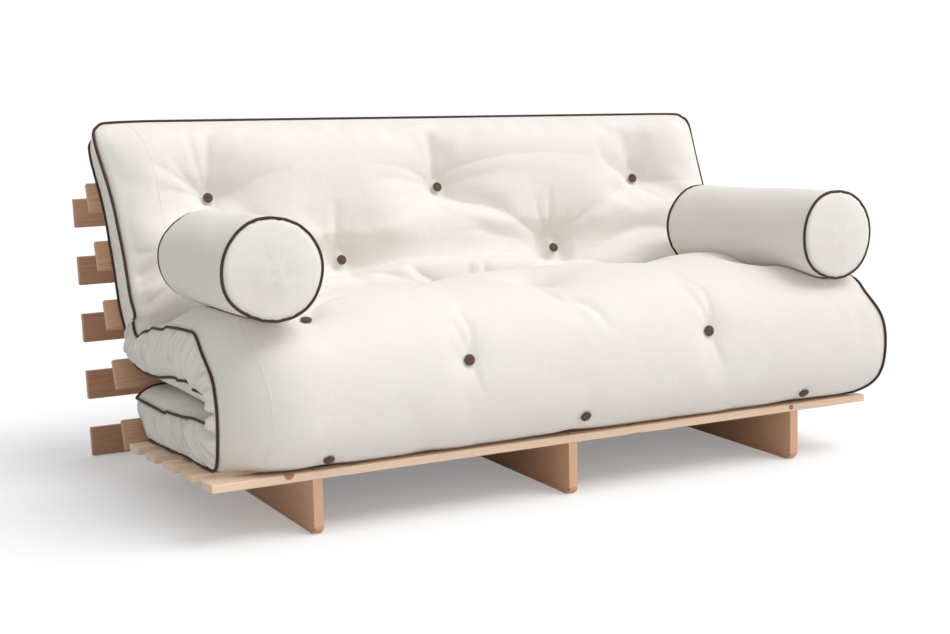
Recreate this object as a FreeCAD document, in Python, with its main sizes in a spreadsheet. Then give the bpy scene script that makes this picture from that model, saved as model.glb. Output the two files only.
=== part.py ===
import FreeCAD, Part
import math
import os
import Sketcher
from FreeCAD import Placement, Rotation, Vector

# Futon sofa bed. Three slatted wooden sections are hinged one to the next: the seat stands on
# the floor, the back leans behind it, and the rear section props the back up from behind. One
# futon lies folded on the seat and runs up the back, and a bolster lies at each end of the seat.
# X runs along the slats, +Y points to the rear and +Z up. The origin ends up on the floor, under
# the middle of the whole object. Lengths are in millimetres and angles in degrees.

doc = FreeCAD.newDocument("futon_sofa_bed")

DIMENSIONS = [
    ("slat_length", 1700, "length of every slat"),
    ("slat_width", 73, "width of every slat"),
    ("slat_thickness", 18, "thickness of every slat"),
    ("slat_easing", 2.5, "radius on the slats' edges"),
    ("slat_count", 5, "slats in each section"),
    ("seat_pitch", 138, "from one seat slat to the next"),
    ("back_pitch", 149, "from one back slat to the next"),
    ("rear_pitch", 147, "from one rear slat to the next"),
    ("back_slat_start", 8, "lower hinge to the first back slat, along the back"),
    ("rear_slat_start", 42, "upper hinge to the first rear slat, along the rear section"),
    ("seat_height", 139.6, "floor to the front edge of the seat slats"),
    ("seat_tilt", 3.12, "fall of the seat towards the rear"),
    ("back_lean", 20.8, "lean of the back from upright"),
    ("rear_lean", 4.1, "lean of the rear section from upright"),
    ("board_thickness", 22, "thickness of every board"),
    ("board_depth", 84, "depth of the back and rear boards"),
    ("board_spacing", 625, "middle board to an outer board"),
    ("board_offset", 8, "middle board to the middle of the slats"),
    ("board_play", 2, "gap between two hinged boards"),
    ("seat_board_reach", 885, "length of a seat board along the floor"),
    ("seat_board_tail", 68, "height of a seat board at its rear end"),
    ("seat_board_dip_reach", 668, "where a seat board dips to clear the back slats"),
    ("seat_board_dip", 76.2, "height of a seat board at that dip"),
    ("lower_hinge_reach", 688, "lower hinge behind the seat's front edge"),
    ("lower_hinge_height", 63, "lower hinge above the floor"),
    ("lower_hinge_depth", 39, "lower hinge under the back slats' outer face"),
    ("upper_hinge_depth", 77, "upper hinge under the slats' outer faces"),
    ("hinge_span", 704, "lower hinge to upper hinge, along the back"),
    ("lower_end", 28, "back board beyond the lower hinge"),
    ("upper_end", 22, "boards beyond the upper hinge"),
    ("bolt_radius", 5, "hinge bolt"),
    ("bolt_running_gap", 0.08, "clearance around a hinge bolt"),
    ("bolt_head_radius", 11, "hinge bolt's head"),
    ("bolt_head_height", 4.5, "hinge bolt's head"),
    ("washer_radius", 12, "hinge washer"),
    ("washer_bore", 5.3, "radius of a washer's hole"),
    ("washer_thickness", 1.4, "hinge washer"),
    ("hinge_play", 0.3, "gap between a washer and a board"),
    ("nut_across_flats", 17, "lock nut"),
    ("nut_height", 9, "lock nut"),
    ("screw_length", 45, "slat screw"),
    ("screw_radius", 2, "slat screw's shank"),
    ("screw_head_radius", 4.4, "slat screw's countersunk head"),
    ("screw_head_height", 3, "slat screw's countersunk head"),
    ("screw_proud", 0.3, "screw head above the slat"),
    ("screw_edge", 20, "screw to the slat's edge"),
    ("futon_length", 1680, "futon along the slats"),
    ("back_futon_start", 256, "lower hinge to the back futon's lower edge"),
    ("back_futon_end", 770, "lower hinge to the back futon's top edge"),
    ("back_futon_thickness", 150, "futon on the back"),
    ("rest_gap", 0.5, "gap under each soft piece"),
    ("futon_overhang", 45, "futon in front of the seat slats"),
    ("seat_futon_top", 466, "floor to the top of the futon on the seat"),
    ("seat_shoulder_reach", 400, "seat front to where the seat futon starts to fall"),
    ("crease_reach", 594, "seat front to the crease between seat and back futon"),
    ("crease_height", 362, "floor to the crease between seat and back futon"),
    ("fold_height", 290, "floor to the line between the two seat layers"),
    ("cover_thickness", 2, "cover fabric with its wadding"),
    ("piping_radius", 4, "piping"),
    ("button_radius", 13.5, "covered button"),
    ("button_height", 7, "covered button"),
    ("button_proud", 2, "button above the cover"),
    ("thread_radius", 1, "tufting thread"),
    ("tuft_spacing", 620, "one tuft to the next along the slats"),
    ("three_row_middle", 20, "middle of a row of three tufts"),
    ("two_row_middle", 45, "middle of a row of two tufts"),
    ("back_upper_tufts", 581, "lower hinge to the back's upper row of tufts"),
    ("back_lower_tufts", 400, "lower hinge to the back's lower row of tufts"),
    ("seat_front_tufts", 190, "seat front to the seat's front row of tufts"),
    ("seat_middle_tufts", 370, "seat front to the seat's middle row of tufts"),
    ("seat_rear_tufts", 545, "seat front to the seat's rear row of tufts"),
    ("fold_upper_tufts", 348, "floor to the upper row of tufts on the front fold"),
    ("fold_lower_tufts", 208, "floor to the lower row of tufts on the front fold"),
    ("bolster_radius", 108, "bolster with its cover"),
    ("bolster_length", 550, "bolster with its cover"),
    ("bolster_front", -30, "front end of each bolster's axis"),
    ("left_bolster_middle", -706, "front end of the left bolster along the slats"),
    ("right_bolster_middle", 741, "front end of the right bolster along the slats"),
    ("left_bolster_turn", -2.5, "left bolster's rear end turned towards the left, degrees"),
    ("right_bolster_turn", 4, "right bolster's rear end turned towards the left, degrees"),
]

sheet = doc.addObject("Spreadsheet::Sheet", "dimensions")
for row, (alias, value, meaning) in enumerate(DIMENSIONS, 1):
    sheet.set(f"A{row}", meaning)
    sheet.set(f"B{row}", str(value))
    sheet.setAlias(f"B{row}", alias)
doc.recompute()

subparts = []


def size(alias):
    """The value of one driving dimension."""
    return float(getattr(sheet, alias))


def bind(feature, **properties):
    """Bind properties of a feature to expressions over the driving dimensions."""
    for name, expression in properties.items():
        feature.setExpression(name, expression)


def deliver(feature, label, place=None):
    """Name a sub-part, put it in its place and list it for export."""
    feature.Label = label
    if place is not None:
        feature.Placement = place
    subparts.append(feature)
    return feature


def compound(label, shapes, place):
    """A sub-part of identical separate solids."""
    feature = doc.addObject("Part::Feature", label)
    feature.Shape = Part.makeCompound(shapes)
    return deliver(feature, label, place)


def placed(shape, *steps):
    """A copy of a shape, moved by placements that are applied from last to first."""
    copy = shape.copy()
    for step in reversed(steps):
        copy.transformShape(step.toMatrix())
    return copy


def shift(x=0.0, y=0.0, z=0.0):
    return Placement(Vector(x, y, z), Rotation())


def turn(axis, angle):
    return Placement(Vector(), Rotation(axis, angle))


X_AXIS, Y_AXIS, Z_AXIS = Vector(1, 0, 0), Vector(0, 1, 0), Vector(0, 0, 1)


# Each section has a frame of its own: x along the slats, y along the section away from the hinge
# it hangs on, and z out of the slats' outer faces, which lie at z = 0.

def section(reach, height, angle):
    """Placement of a section whose y axis is raised by an angle from the horizontal."""
    return shift(0, reach, height) * turn(X_AXIS, angle)


seat_frame = section(0, size("seat_height"), -size("seat_tilt"))
lower_hinge = Vector(0, size("lower_hinge_reach"), size("lower_hinge_height"))
back_angle = 90 - size("back_lean")
back_frame = shift(lower_hinge.x, lower_hinge.y, lower_hinge.z) * turn(X_AXIS, back_angle)
back_frame = back_frame * shift(z=size("lower_hinge_depth"))
upper_hinge = back_frame.multVec(Vector(0, size("hinge_span"), -size("upper_hinge_depth")))
rear_angle = -90 - size("rear_lean")
rear_frame = shift(upper_hinge.x, upper_hinge.y, upper_hinge.z) * turn(X_AXIS, rear_angle)
rear_frame = rear_frame * shift(z=size("upper_hinge_depth"))

board_places = [size("board_offset") + k * size("board_spacing") for k in (-1, 0, 1)]
board_names = ["left", "middle", "right"]
side_step = size("board_thickness") + size("board_play")


# Outlines are closed, anticlockwise lists of corners (x, y, radius of the corner).

def inset(corners, distance):
    """The outline moved inwards by a distance."""
    lines = []
    for (x, y, _), (next_x, next_y, _) in zip(corners, corners[1:] + corners[:1]):
        along = Vector(next_x - x, next_y - y).normalize()
        inward = Vector(-along.y, along.x)
        lines.append((Vector(x, y) + inward * distance, along))
    moved = []
    for k, (_, _, radius) in enumerate(corners):
        (point_a, along_a), (point_b, along_b) = lines[k - 1], lines[k]
        across = along_a.x * along_b.y - along_a.y * along_b.x
        gap = point_b - point_a
        reach = (gap.x * along_b.y - gap.y * along_b.x) / across
        corner = point_a + along_a * reach
        moved.append((corner.x, corner.y, max(radius - distance, 0)))
    return moved


def outline_curves(corners):
    """Lines and arcs of an outline with its corners rounded."""
    arcs, entries, exits = [], [], []
    for k, (x, y, radius) in enumerate(corners):
        corner = Vector(x, y)
        back = (Vector(*corners[k - 1][:2]) - corner).normalize()
        ahead = (Vector(*corners[(k + 1) % len(corners)][:2]) - corner).normalize()
        half = back.getAngle(ahead) / 2
        entry = corner + back * (radius / math.tan(half))
        leave = corner + ahead * (radius / math.tan(half))
        entries.append(entry)
        exits.append(leave)
        if radius:
            bisector = (back + ahead).normalize()
            crown = corner + bisector * (radius / math.sin(half) - radius)
            arcs.append(Part.Arc(entry, crown, leave))
        else:
            arcs.append(None)
    curves = []
    for k, arc in enumerate(arcs):
        if arc:
            curves.append(arc)
        curves.append(Part.LineSegment(exits[k], entries[(k + 1) % len(corners)]))
    return curves


def padded_body(label, corners, thickness, plane="YZ_Plane", hole_centres=()):
    """A body padded from an outline, with bolt holes, to a thickness given as an expression."""
    body = doc.addObject("PartDesign::Body", label)
    sketch = body.newObject("Sketcher::SketchObject", label + "_outline")
    base = [f for f in body.Origin.OriginFeatures if f.Role == plane][0]
    sketch.AttachmentSupport = [(base, "")]
    sketch.MapMode = "FlatFace"
    sketch.addGeometry(outline_curves(corners), False)
    hole_radius = size("bolt_radius") + size("bolt_running_gap")
    for number, (x, y) in enumerate(hole_centres):
        circle = Part.Circle(Vector(x, y), Z_AXIS, hole_radius)
        index = sketch.addGeometry(circle, False)
        sketch.addConstraint(Sketcher.Constraint("Radius", index, hole_radius))
        sketch.setExpression(
            f"Constraints[{number}]", "dimensions.bolt_radius + dimensions.bolt_running_gap"
        )
    pad = body.newObject("PartDesign::Pad", label + "_pad")
    pad.Profile = sketch
    pad.SideType = "Symmetric" if plane == "YZ_Plane" else "One side"
    bind(pad, Length=thickness)
    return body


def swept_loop(corners, radius):
    """A round tube along a closed outline in the xy plane."""
    path = Part.Wire([curve.toShape() for curve in outline_curves(corners)])
    first = path.Edges[0]
    start, heading = first.valueAt(first.FirstParameter), first.tangentAt(first.FirstParameter)
    profile = Part.Wire([Part.makeCircle(radius, start, heading)])
    return path.makePipeShell([profile], True, False)


# ---- Wooden frame ----

def slats(section_name, frame, start, pitch):
    """The slats of one section, each a box with eased edges."""
    for number in range(int(size("slat_count"))):
        label = f"{section_name}_slat_{number + 1}"
        blank = doc.addObject("Part::Box", label + "_blank")
        bind(blank, Length="dimensions.slat_length", Width="dimensions.slat_width")
        bind(blank, Height="dimensions.slat_thickness")
        eased = doc.addObject("Part::Fillet", label)
        eased.Base = blank
        radius = size("slat_easing")
        eased.Edges = [(edge, radius, radius) for edge in range(1, 13)]
        corner = shift(-size("slat_length") / 2, start + number * pitch, -size("slat_thickness"))
        deliver(eased, label, frame * corner)


def boards(section_name, frame, corners, hole_centres, sideways):
    """The three boards that carry the slats of one section."""
    for name, place in zip(board_names, board_places):
        label = f"{section_name}_board_{name}"
        body = padded_body(label, corners, "dimensions.board_thickness", "YZ_Plane", hole_centres)
        deliver(body, label, shift(place + sideways) * frame)


def seat_board_outline():
    """Flat on the floor, with its top edge under the falling seat."""
    slope = math.tan(math.radians(size("seat_tilt")))
    drop = size("slat_thickness") / math.cos(math.radians(size("seat_tilt")))
    top = size("seat_height") - drop
    last_slat = size("seat_pitch") * (size("slat_count") - 1) + size("slat_width")
    toe_radius, tail_radius, rear_radius = 22, 12, 30
    dip = size("seat_board_dip_reach")
    before_dip = (last_slat + dip) / 2
    return [
        (0, 0, toe_radius),
        (size("seat_board_reach"), 0, tail_radius),
        (size("seat_board_reach"), size("seat_board_tail"), rear_radius),
        (dip, size("seat_board_dip"), 0),
        (before_dip, top - before_dip * slope - 2, 0),
        (last_slat, top - last_slat * slope, 0),
        (0, top, 0),
    ]


def back_board_outline():
    """Rounded at its lower end, where it turns close to the floor."""
    near = -size("slat_thickness")
    far = near - size("board_depth")
    top_end = size("hinge_span") + size("upper_end")
    front_radius, rear_radius = 8, 20
    return [
        (-size("lower_end"), far, size("lower_end")),
        (top_end, far, rear_radius),
        (top_end, near, front_radius),
        (-size("lower_end"), near, front_radius),
    ]


def rear_board_outline():
    """Cut level at its foot, so that it stands flat on the floor."""
    near = -size("slat_thickness")
    far = near - size("board_depth")
    lean = math.radians(size("rear_lean"))
    origin_height = rear_frame.Base.z
    feet = [(origin_height - depth * math.sin(lean)) / math.cos(lean) for depth in (near, far)]
    front_radius, rear_radius = 8, 20
    return [
        (-size("upper_end"), far, rear_radius),
        (feet[1], far, 0),
        (feet[0], near, 0),
        (-size("upper_end"), near, front_radius),
    ]


hinge_in_back = [(0, -size("lower_hinge_depth")), (size("hinge_span"), -size("upper_hinge_depth"))]
hinge_in_rear = [(0, -size("upper_hinge_depth"))]

slats("seat", seat_frame, 0, size("seat_pitch"))
slats("back", back_frame, size("back_slat_start"), size("back_pitch"))
slats("rear", rear_frame, size("rear_slat_start"), size("rear_pitch"))
boards("seat", shift(), seat_board_outline(), [(lower_hinge.y, lower_hinge.z)], 0)
boards("back", back_frame, back_board_outline(), hinge_in_back, side_step)
boards("rear", rear_frame, rear_board_outline(), hinge_in_rear, 0)


# ---- Screws ----

def screw_template():
    """A countersunk screw with a cross recess, its head's top at z = 0, pointing down."""
    head = doc.addObject("Part::Cone", "screw_head")
    bind(head, Radius1="dimensions.screw_radius", Radius2="dimensions.screw_head_radius")
    bind(head, Height="dimensions.screw_head_height")
    head.Placement = shift(z=-size("screw_head_height"))
    shank = doc.addObject("Part::Cylinder", "screw_shank")
    bind(shank, Radius="dimensions.screw_radius", Height="dimensions.screw_length")
    shank.Placement = shift(z=-size("screw_length"))
    blank = doc.addObject("Part::Fuse", "screw_blank")
    blank.Base, blank.Tool = head, shank
    slot_length, slot_width, slot_depth = 4.4, 0.9, 1.6
    slots = []
    for angle in (0, 90):
        slot = doc.addObject("Part::Box", f"screw_slot_{angle}")
        slot.Length, slot.Width, slot.Height = slot_length, slot_width, 2 * slot_depth
        slot.Placement = turn(Z_AXIS, angle) * shift(-slot_length / 2, -slot_width / 2, -slot_depth)
        slots.append(slot)
    cross = doc.addObject("Part::Fuse", "screw_cross")
    cross.Base, cross.Tool = slots
    screw = doc.addObject("Part::Cut", "screw")
    screw.Base, screw.Tool = blank, cross
    doc.recompute()
    return screw.Shape


def screws(section_name, frame, start, pitch, sideways, shape):
    """Two screws where each slat of a section crosses each of its boards."""
    solids = []
    for number in range(int(size("slat_count"))):
        for edge in (size("screw_edge"), size("slat_width") - size("screw_edge")):
            for place in board_places:
                spot = shift(place + sideways, start + number * pitch + edge, size("screw_proud"))
                solids.append(placed(shape, spot))
    compound(f"{section_name}_screws", solids, frame)


screw_shape = screw_template()
screws("seat", seat_frame, 0, size("seat_pitch"), 0, screw_shape)
screws("back", back_frame, size("back_slat_start"), size("back_pitch"), side_step, screw_shape)
screws("rear", rear_frame, size("rear_slat_start"), size("rear_pitch"), 0, screw_shape)


# ---- Hinges ----

def bolt_template(length):
    """A dome-headed bolt along +Z, with the underside of its head at z = 0."""
    shank = doc.addObject("Part::Cylinder", "bolt_shank")
    bind(shank, Radius="dimensions.bolt_radius")
    shank.Height = length
    rim = doc.addObject("Part::Cone", "bolt_head")
    bind(rim, Radius1="dimensions.bolt_head_radius * 0.55", Radius2="dimensions.bolt_head_radius")
    bind(rim, Height="dimensions.bolt_head_height")
    rim.Placement = shift(z=-size("bolt_head_height"))
    bolt = doc.addObject("Part::Fuse", "bolt")
    bolt.Base, bolt.Tool = rim, shank
    doc.recompute()
    return bolt.Shape


def washer_template():
    """A washer lying on z = 0."""
    disc = doc.addObject("Part::Cylinder", "washer_disc")
    bind(disc, Radius="dimensions.washer_radius", Height="dimensions.washer_thickness")
    bore = doc.addObject("Part::Cylinder", "washer_bore_tool")
    bind(bore, Radius="dimensions.washer_bore", Height="dimensions.washer_thickness")
    washer = doc.addObject("Part::Cut", "washer")
    washer.Base, washer.Tool = disc, bore
    doc.recompute()
    return washer.Shape


def nut_template():
    """A hexagonal lock nut with a round collar, standing on z = 0."""
    flats = size("nut_across_flats")
    collar_height, bore_gap = 2.5, 0.05
    prism = doc.addObject("Part::Prism", "nut_prism")
    prism.Polygon = 6
    prism.Circumradius = flats / math.sqrt(3)
    prism.Height = size("nut_height") - collar_height
    collar = doc.addObject("Part::Cone", "nut_collar")
    collar.Radius1, collar.Radius2 = flats * 0.47, flats * 0.4
    collar.Height = collar_height
    collar.Placement = shift(z=size("nut_height") - collar_height)
    blank = doc.addObject("Part::Fuse", "nut_blank")
    blank.Base, blank.Tool = prism, collar
    bore = doc.addObject("Part::Cylinder", "nut_bore")
    bore.Radius = size("bolt_radius") + bore_gap
    bind(bore, Height="dimensions.nut_height")
    nut = doc.addObject("Part::Cut", "nut")
    nut.Base, nut.Tool = blank, bore
    doc.recompute()
    return nut.Shape


def hinge_row(name, centre, bolt, washer, nut):
    """One bolt, three washers and one lock nut through each pair of boards."""
    half = size("board_thickness") / 2
    play, thin = size("hinge_play"), size("washer_thickness")
    head_side = -half - play - thin
    far_side = half + size("board_play") + size("board_thickness") + play
    across = turn(Y_AXIS, 90)
    bolts, washers, nuts = [], [], []
    for place in board_places:
        bolts.append(placed(bolt, shift(place + head_side), across))
        for reach in (head_side, half + play, far_side):
            washers.append(placed(washer, shift(place + reach), across))
        nuts.append(placed(nut, shift(place + far_side + thin), across))
    spot = shift(0, centre.y, centre.z)
    compound(f"{name}_hinge_bolts", bolts, spot)
    compound(f"{name}_hinge_washers", washers, spot)
    compound(f"{name}_hinge_nuts", nuts, spot)


bolt_tail = 3
bolt_length = 2 * size("board_thickness") + size("board_play") + 2 * size("hinge_play")
bolt_length += 2 * size("washer_thickness") + size("nut_height") + bolt_tail
hinge_shapes = bolt_template(bolt_length), washer_template(), nut_template()
hinge_row("lower", lower_hinge, *hinge_shapes)
hinge_row("upper", upper_hinge, *hinge_shapes)


# ---- Futon ----

def back_futon_outline():
    """Face of the futon on the back, in the back section's x and y."""
    half = size("futon_length") / 2
    corner_radius = 30
    return [
        (-half, size("back_futon_start"), corner_radius),
        (half, size("back_futon_start"), corner_radius),
        (half, size("back_futon_end"), corner_radius),
        (-half, size("back_futon_end"), corner_radius),
    ]


def slat_plane_height(reach):
    """Height of the seat slats' outer face at a distance behind the front edge."""
    return size("seat_height") - reach * math.tan(math.radians(size("seat_tilt")))


def under_futon_outline():
    """Side view of the layer folded under the seat."""
    front = -size("futon_overhang")
    rear_bottom, rear_top = 657, 700
    lift = size("rest_gap")
    top = size("fold_height") - lift
    return [
        (front, slat_plane_height(front) + lift, 60),
        (rear_bottom, slat_plane_height(rear_bottom) + lift, 30),
        (rear_top, top, 30),
        (front, top, 20),
    ]


def seat_futon_outline():
    """Side view of the layer that is sat on, which falls to the crease in front of the back."""
    front = -size("futon_overhang")
    bottom = size("fold_height") + size("rest_gap")
    tail_reach, tail_height = 700, 321
    return [
        (front, bottom, 20),
        (tail_reach, bottom, 12),
        (tail_reach, tail_height, 6),
        (size("crease_reach"), size("crease_height"), 10),
        (size("seat_shoulder_reach"), size("seat_futon_top"), 150),
        (front, size("seat_futon_top"), 110),
    ]


def covered_body(name, corners, plane, thickness, place, inner_place):
    """A cover with the filling that it holds."""
    wall = size("cover_thickness")
    outside = padded_body(f"{name}_outside", corners, thickness, plane)
    thinner = f"{thickness} - 2 * dimensions.cover_thickness"
    inside = padded_body(f"{name}_inside", inset(corners, wall), thinner, plane)
    inside.Placement = inner_place
    cover = doc.addObject("Part::Cut", f"{name}_cover")
    cover.Base, cover.Tool = outside, inside
    doc.recompute()
    deliver(cover, f"{name}_cover", place)
    filling = doc.addObject("Part::Feature", f"{name}_filling")
    filling.Shape = inside.Shape
    deliver(filling, f"{name}_filling", place * inner_place)


back_slab = back_frame * shift(z=size("rest_gap"))
covered_body(
    "futon_back", back_futon_outline(), "XY_Plane", "dimensions.back_futon_thickness",
    back_slab, shift(z=size("cover_thickness")),
)
covered_body(
    "futon_seat", seat_futon_outline(), "YZ_Plane", "dimensions.futon_length", shift(), shift()
)
covered_body(
    "futon_under", under_futon_outline(), "YZ_Plane", "dimensions.futon_length", shift(), shift()
)


def back_piping():
    """Two loops, one round each face of the futon on the back."""
    radius = size("piping_radius")
    depths = (radius, size("back_futon_thickness") - radius)
    loop = swept_loop(back_futon_outline(), radius)
    compound("futon_back_piping", [placed(loop, shift(z=depth)) for depth in depths], back_slab)


def side_piping(name, corners):
    """Two loops, one round each end of a seat layer."""
    radius = size("piping_radius")
    loop = swept_loop(inset(corners, radius), radius)
    upright = Placement(Vector(), Rotation(Y_AXIS, Z_AXIS, X_AXIS, "XYZ"))
    ends = (-size("futon_length") / 2, size("futon_length") / 2)
    compound(f"{name}_piping", [placed(loop, shift(end), upright) for end in ends], shift())


back_piping()
side_piping("futon_seat", seat_futon_outline())
side_piping("futon_under", under_futon_outline())


def button_template():
    """A fabric-covered button with a rounded rim, its underside at z = 0."""
    disc = doc.addObject("Part::Cylinder", "button_disc")
    bind(disc, Radius="dimensions.button_radius", Height="dimensions.button_height")
    doc.recompute()
    top = [
        number for number, edge in enumerate(disc.Shape.Edges, 1)
        if edge.BoundBox.ZMin > size("button_height") / 2
    ]
    rounding = size("button_height") * 0.7
    button = doc.addObject("Part::Fillet", "button")
    button.Base = disc
    button.Edges = [(number, rounding, rounding) for number in top]
    doc.recompute()
    return button.Shape


def tuft_row(count):
    """Places of a row of tufts along the slats."""
    spacing = size("tuft_spacing")
    if count == 3:
        return [size("three_row_middle") + k * spacing for k in (-1, 0, 1)]
    return [size("two_row_middle") + k * spacing for k in (-0.5, 0.5)]


def tufts(name, rows):
    """Buttons on the outer face of a layer, and the threads that hold them down.

    A row is (tufts in it, placement of its line on the outer face with z outwards, depth)."""
    sunk = size("button_height") - size("button_proud")
    buttons, threads = [], []
    for count, place, depth in rows:
        for x in tuft_row(count):
            buttons.append(placed(button_shape, shift(x), place, shift(z=-sunk)))
            length = depth - sunk - size("cover_thickness")
            thread = Part.makeCylinder(size("thread_radius"), length, Vector(0, 0, -sunk - length))
            threads.append(placed(thread, shift(x), place))
    compound(f"{name}_buttons", buttons, shift())
    compound(f"{name}_threads", threads, shift())


def on_back(along):
    """Place on the outer face of the back futon."""
    return back_slab * shift(0, along, size("back_futon_thickness"))


def on_top(reach):
    """Place on the level top of the seat futon."""
    return shift(0, reach, size("seat_futon_top"))


def on_slope(reach):
    """Place on the part of the seat futon that falls to the crease."""
    run = size("crease_reach") - size("seat_shoulder_reach")
    fall = size("seat_futon_top") - size("crease_height")
    height = size("crease_height") + (size("crease_reach") - reach) * fall / run
    return shift(0, reach, height) * turn(X_AXIS, -math.degrees(math.atan2(fall, run)))


def on_front(height):
    """Place on the front of the seat futon, with z towards the front."""
    return shift(0, -size("futon_overhang"), height) * turn(X_AXIS, 90)


button_shape = button_template()
back_layer = size("back_futon_thickness")
seat_layer = size("seat_futon_top") - size("fold_height")
crease_layer, front_layer = 80, 140
tufts("futon_back", [
    (3, on_back(size("back_upper_tufts")), back_layer),
    (2, on_back(size("back_lower_tufts")), back_layer),
])
tufts("futon_seat", [
    (3, on_top(size("seat_front_tufts")), seat_layer),
    (2, on_top(size("seat_middle_tufts")), seat_layer),
    (3, on_slope(size("seat_rear_tufts")), crease_layer),
    (2, on_front(size("fold_upper_tufts")), front_layer),
])
tufts("futon_under", [
    (3, on_front(size("fold_lower_tufts")), front_layer),
])


# ---- Bolsters ----

def bolster(side):
    """A bolster lying on the seat, its axis from front to rear."""
    wall = size("cover_thickness")
    axis_height = size("seat_futon_top") + size("rest_gap") + size("bolster_radius")
    place = shift(size(f"{side}_bolster_middle"), size("bolster_front"), axis_height)
    place = place * turn(Z_AXIS, size(f"{side}_bolster_turn"))
    place = place * shift(y=size("bolster_length")) * turn(X_AXIS, 90)
    outside = doc.addObject("Part::Cylinder", f"bolster_{side}_outside")
    bind(outside, Radius="dimensions.bolster_radius", Height="dimensions.bolster_length")
    inside, filling = [
        doc.addObject("Part::Cylinder", f"bolster_{side}_{word}") for word in ("inside", "filling")
    ]
    for cylinder in (inside, filling):
        bind(cylinder, Radius="dimensions.bolster_radius - dimensions.cover_thickness")
        bind(cylinder, Height="dimensions.bolster_length - 2 * dimensions.cover_thickness")
    inside.Placement = shift(z=wall)
    cover = doc.addObject("Part::Cut", f"bolster_{side}_cover")
    cover.Base, cover.Tool = outside, inside
    doc.recompute()
    deliver(cover, f"bolster_{side}_cover", place)
    deliver(filling, f"bolster_{side}_filling", place * shift(z=wall))
    thick = size("piping_radius")
    ring = Part.makeTorus(size("bolster_radius") - thick, thick)
    ends = (thick, size("bolster_length") - thick)
    compound(f"bolster_{side}_piping", [placed(ring, shift(z=end)) for end in ends], place)


bolster("left")
bolster("right")


# ---- Origin, checks and export ----

def whole_box():
    box = FreeCAD.BoundBox()
    for part in subparts:
        box.add(part.Shape.optimalBoundingBox(True, False))
    return box


doc.recompute()
box = whole_box()
home = shift(-box.Center.x, -box.Center.y, -box.ZMin)
for part in subparts:
    part.Placement = home * part.Placement
doc.recompute()

for item in doc.Objects:
    if "Invalid" in item.State or "Error" in item.State:
        raise RuntimeError(f"{item.Label} did not compute: {item.State}")
for part in subparts:
    if part.Shape.isNull() or not part.Shape.isValid() or not part.Shape.Solids:
        raise RuntimeError(f"{part.Label} has no valid solid")

os.makedirs("parts", exist_ok=True)
for part in subparts:
    part.Shape.exportStep(f"parts/{part.Label}.step")

sides = (box.XLength, box.YLength, box.ZLength)
print(len(subparts), "sub-parts, overall", [round(side, 1) for side in sides])
print("lower hinge", home.multVec(lower_hinge), "upper hinge", home.multVec(upper_hinge))
print("back travel", back_angle, "rear travel", back_angle - rear_angle)
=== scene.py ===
"""A futon sofa bed: a slatted pine frame, a tufted futon folded on it, and two bolsters."""

import math

import bpy
import numpy as np
from mathutils import Matrix, Vector


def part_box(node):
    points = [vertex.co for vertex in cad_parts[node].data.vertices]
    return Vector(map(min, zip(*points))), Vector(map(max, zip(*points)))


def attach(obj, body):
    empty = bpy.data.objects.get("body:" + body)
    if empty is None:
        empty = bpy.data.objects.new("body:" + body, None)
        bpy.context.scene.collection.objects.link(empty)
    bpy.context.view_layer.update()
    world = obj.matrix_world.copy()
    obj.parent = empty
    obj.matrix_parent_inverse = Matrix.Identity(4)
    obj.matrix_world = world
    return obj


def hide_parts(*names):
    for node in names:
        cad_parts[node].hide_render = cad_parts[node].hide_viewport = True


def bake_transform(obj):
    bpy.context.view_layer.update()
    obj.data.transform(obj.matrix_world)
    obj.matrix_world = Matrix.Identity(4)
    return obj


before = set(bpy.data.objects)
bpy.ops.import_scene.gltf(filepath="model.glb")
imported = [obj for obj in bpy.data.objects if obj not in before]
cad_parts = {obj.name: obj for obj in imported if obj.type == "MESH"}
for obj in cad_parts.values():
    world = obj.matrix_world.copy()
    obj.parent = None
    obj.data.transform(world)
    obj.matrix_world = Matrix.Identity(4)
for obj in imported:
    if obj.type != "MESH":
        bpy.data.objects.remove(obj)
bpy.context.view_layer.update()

# Lengths are in metres. Side-view points are (y, z): behind the seat's front edge and above the
# floor. HOME moves them into the frame, from where the lower hinge is.

HINGE_REACH = 0.688
hinge_low, hinge_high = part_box("lower_hinge_bolts")
HOME = (hinge_low[1] + hinge_high[1]) / 2 - HINGE_REACH

BACK_ANGLE = math.radians(69.2)
BACK_FOOT = np.array([0.6515, 0.07685])
BACK_UP = np.array([math.cos(BACK_ANGLE), math.sin(BACK_ANGLE)])
BACK_OUT = np.array([-BACK_UP[1], BACK_UP[0]])


def back(along, out):
    """Side-view point at a distance up the back slats' outer face and out from it."""
    return tuple(BACK_FOOT + BACK_UP * along + BACK_OUT * out)


# ---- Camera, lights and floor ----

CAMERA_PLACE = Vector((-1.8833, -3.7652, 1.0070))
CAMERA_YAW, CAMERA_PITCH, CAMERA_ROLL = (math.radians(a) for a in (26.79, 8.90, -1.37))
CAMERA_LENS, SENSOR_WIDTH = 64.11, 36.0


def make_camera():
    ahead = Vector((
        math.sin(CAMERA_YAW) * math.cos(CAMERA_PITCH),
        math.cos(CAMERA_YAW) * math.cos(CAMERA_PITCH),
        -math.sin(CAMERA_PITCH),
    ))
    level = Vector((math.cos(CAMERA_YAW), -math.sin(CAMERA_YAW), 0))
    upright = level.cross(ahead)
    right = level * math.cos(CAMERA_ROLL) + upright * math.sin(CAMERA_ROLL)
    up = upright * math.cos(CAMERA_ROLL) - level * math.sin(CAMERA_ROLL)
    data = bpy.data.cameras.new("camera")
    data.lens, data.sensor_width = CAMERA_LENS, SENSOR_WIDTH
    data.clip_end = 200
    camera = bpy.data.objects.new("camera", data)
    camera.matrix_world = Matrix.Translation(CAMERA_PLACE) @ Matrix(
        (right, up, -ahead)
    ).transposed().to_4x4()
    bpy.context.scene.collection.objects.link(camera)
    bpy.context.scene.camera = camera


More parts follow.
